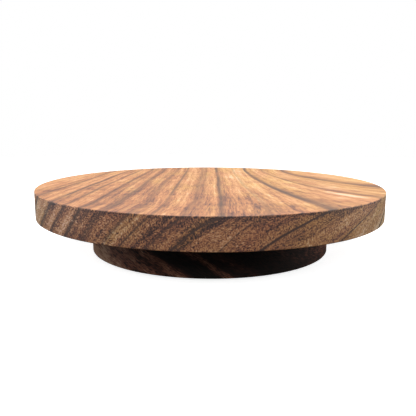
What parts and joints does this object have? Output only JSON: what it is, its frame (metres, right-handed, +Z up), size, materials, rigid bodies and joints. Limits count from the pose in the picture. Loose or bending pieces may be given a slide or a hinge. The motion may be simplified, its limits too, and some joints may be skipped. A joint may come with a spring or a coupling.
{
  "type": "lazy susan turntable",
  "caption": "Round solid-wood turntable disc that spins on a smaller round wood base, with a caged ball bearing screwed between them and rubber feet underneath.",
  "frame": {"origin": "on the resting surface, on the axis of rotation, level with the soles of the feet", "axes": "+Z up along the axis of rotation, Y along the grain of the top board, -Y towards the viewer of the picture, +X to the viewer's right"},
  "size_m": [0.3, 0.3, 0.057],
  "materials": {
    "top_wood": "satin oil",
    "base_wood": "satin oil, darker",
    "bearing_steel": "zinc-plated pressed sheet",
    "screw_steel": "zinc-plated",
    "ball_steel": "polished",
    "retainer_nylon": "natural nylon",
    "foot_rubber": "matte"
  },
  "bodies": {
    "base": {"base_board": "base_wood", "lower_plate": "bearing_steel", "lower_screw_1": "screw_steel", "lower_screw_2": "screw_steel", "lower_screw_3": "screw_steel", "lower_screw_4": "screw_steel", "foot_1": "foot_rubber", "foot_2": "foot_rubber", "foot_3": "foot_rubber", "foot_4": "foot_rubber", "foot_screw_1": "screw_steel", "foot_screw_2": "screw_steel", "foot_screw_3": "screw_steel", "foot_screw_4": "screw_steel"},
    "ball_cage": {"ball_retainer": "retainer_nylon"},
    "turntable": {"top_board": "top_wood", "upper_plate": "bearing_steel", "centre_eyelet": "bearing_steel", "upper_screw_1": "screw_steel", "upper_screw_2": "screw_steel", "upper_screw_3": "screw_steel", "upper_screw_4": "screw_steel"},
    "rolling_ball_01": {"ball_01": "ball_steel"},
    "rolling_ball_02": {"ball_02": "ball_steel"},
    "rolling_ball_03": {"ball_03": "ball_steel"},
    "rolling_ball_04": {"ball_04": "ball_steel"},
    "rolling_ball_05": {"ball_05": "ball_steel"},
    "rolling_ball_06": {"ball_06": "ball_steel"},
    "rolling_ball_07": {"ball_07": "ball_steel"},
    "rolling_ball_08": {"ball_08": "ball_steel"},
    "rolling_ball_09": {"ball_09": "ball_steel"},
    "rolling_ball_10": {"ball_10": "ball_steel"},
    "rolling_ball_11": {"ball_11": "ball_steel"},
    "rolling_ball_12": {"ball_12": "ball_steel"},
    "rolling_ball_13": {"ball_13": "ball_steel"},
    "rolling_ball_14": {"ball_14": "ball_steel"},
    "rolling_ball_15": {"ball_15": "ball_steel"},
    "rolling_ball_16": {"ball_16": "ball_steel"},
    "rolling_ball_17": {"ball_17": "ball_steel"},
    "rolling_ball_18": {"ball_18": "ball_steel"}
  },
  "joints": [
    {"name": "turntable_spin", "type": "hinge", "parent": "base", "child": "turntable", "pos_m": [0, 0, 0.03], "axis": [0, 0, 1], "continuous": true},
    {"name": "cage_spin", "type": "hinge", "parent": "base", "child": "ball_cage", "pos_m": [0, 0, 0.03], "axis": [0, 0, 1], "continuous": true},
    {"name": "ball_01_roll", "type": "hinge", "parent": "ball_cage", "child": "rolling_ball_01", "pos_m": [0.034, 0, 0.03], "axis": [1, 0, 0], "continuous": true},
    {"name": "ball_02_roll", "type": "hinge", "parent": "ball_cage", "child": "rolling_ball_02", "pos_m": [0.03195, 0.01163, 0.03], "axis": [0.9397, 0.342, 0], "continuous": true},
    {"name": "ball_03_roll", "type": "hinge", "parent": "ball_cage", "child": "rolling_ball_03", "pos_m": [0.02605, 0.02185, 0.03], "axis": [0.766, 0.6428, 0], "continuous": true},
    {"name": "ball_04_roll", "type": "hinge", "parent": "ball_cage", "child": "rolling_ball_04", "pos_m": [0.017, 0.02944, 0.03], "axis": [0.5, 0.866, 0], "continuous": true},
    {"name": "ball_05_roll", "type": "hinge", "parent": "ball_cage", "child": "rolling_ball_05", "pos_m": [0.0059, 0.03348, 0.03], "axis": [0.1736, 0.9848, 0], "continuous": true},
    {"name": "ball_06_roll", "type": "hinge", "parent": "ball_cage", "child": "rolling_ball_06", "pos_m": [-0.0059, 0.03348, 0.03], "axis": [-0.1736, 0.9848, 0], "continuous": true},
    {"name": "ball_07_roll", "type": "hinge", "parent": "ball_cage", "child": "rolling_ball_07", "pos_m": [-0.017, 0.02944, 0.03], "axis": [-0.5, 0.866, 0], "continuous": true},
    {"name": "ball_08_roll", "type": "hinge", "parent": "ball_cage", "child": "rolling_ball_08", "pos_m": [-0.02605, 0.02185, 0.03], "axis": [-0.766, 0.6428, 0], "continuous": true},
    {"name": "ball_09_roll", "type": "hinge", "parent": "ball_cage", "child": "rolling_ball_09", "pos_m": [-0.03195, 0.01163, 0.03], "axis": [-0.9397, 0.342, 0], "continuous": true},
    {"name": "ball_10_roll", "type": "hinge", "parent": "ball_cage", "child": "rolling_ball_10", "pos_m": [-0.034, 0, 0.03], "axis": [-1, 0, 0], "continuous": true},
    {"name": "ball_11_roll", "type": "hinge", "parent": "ball_cage", "child": "rolling_ball_11", "pos_m": [-0.03195, -0.01163, 0.03], "axis": [-0.9397, -0.342, 0], "continuous": true},
    {"name": "ball_12_roll", "type": "hinge", "parent": "ball_cage", "child": "rolling_ball_12", "pos_m": [-0.02605, -0.02185, 0.03], "axis": [-0.766, -0.6428, 0], "continuous": true},
    {"name": "ball_13_roll", "type": "hinge", "parent": "ball_cage", "child": "rolling_ball_13", "pos_m": [-0.017, -0.02944, 0.03], "axis": [-0.5, -0.866, 0], "continuous": true},
    {"name": "ball_14_roll", "type": "hinge", "parent": "ball_cage", "child": "rolling_ball_14", "pos_m": [-0.0059, -0.03348, 0.03], "axis": [-0.1736, -0.9848, 0], "continuous": true},
    {"name": "ball_15_roll", "type": "hinge", "parent": "ball_cage", "child": "rolling_ball_15", "pos_m": [0.0059, -0.03348, 0.03], "axis": [0.1736, -0.9848, 0], "continuous": true},
    {"name": "ball_16_roll", "type": "hinge", "parent": "ball_cage", "child": "rolling_ball_16", "pos_m": [0.017, -0.02944, 0.03], "axis": [0.5, -0.866, 0], "continuous": true},
    {"name": "ball_17_roll", "type": "hinge", "parent": "ball_cage", "child": "rolling_ball_17", "pos_m": [0.02605, -0.02185, 0.03], "axis": [0.766, -0.6428, 0], "continuous": true},
    {"name": "ball_18_roll", "type": "hinge", "parent": "ball_cage", "child": "rolling_ball_18", "pos_m": [0.03195, -0.01163, 0.03], "axis": [0.9397, -0.342, 0], "continuous": true}
  ],
  "couplings": [
    {"joint": "cage_spin", "follows": "turntable_spin", "ratio": 0.5},
    {"joint": "ball_01_roll", "follows": "turntable_spin", "ratio": -6.1195},
    {"joint": "ball_02_roll", "follows": "turntable_spin", "ratio": -6.1195},
    {"joint": "ball_03_roll", "follows": "turntable_spin", "ratio": -6.1195},
    {"joint": "ball_04_roll", "follows": "turntable_spin", "ratio": -6.1195},
    {"joint": "ball_05_roll", "follows": "turntable_spin", "ratio": -6.1195},
    {"joint": "ball_06_roll", "follows": "turntable_spin", "ratio": -6.1195},
    {"joint": "ball_07_roll", "follows": "turntable_spin", "ratio": -6.1195},
    {"joint": "ball_08_roll", "follows": "turntable_spin", "ratio": -6.1195},
    {"joint": "ball_09_roll", "follows": "turntable_spin", "ratio": -6.1195},
    {"joint": "ball_10_roll", "follows": "turntable_spin", "ratio": -6.1195},
    {"joint": "ball_11_roll", "follows": "turntable_spin", "ratio": -6.1195},
    {"joint": "ball_12_roll", "follows": "turntable_spin", "ratio": -6.1195},
    {"joint": "ball_13_roll", "follows": "turntable_spin", "ratio": -6.1195},
    {"joint": "ball_14_roll", "follows": "turntable_spin", "ratio": -6.1195},
    {"joint": "ball_15_roll", "follows": "turntable_spin", "ratio": -6.1195},
    {"joint": "ball_16_roll", "follows": "turntable_spin", "ratio": -6.1195},
    {"joint": "ball_17_roll", "follows": "turntable_spin", "ratio": -6.1195},
    {"joint": "ball_18_roll", "follows": "turntable_spin", "ratio": -6.1195}
  ]
}
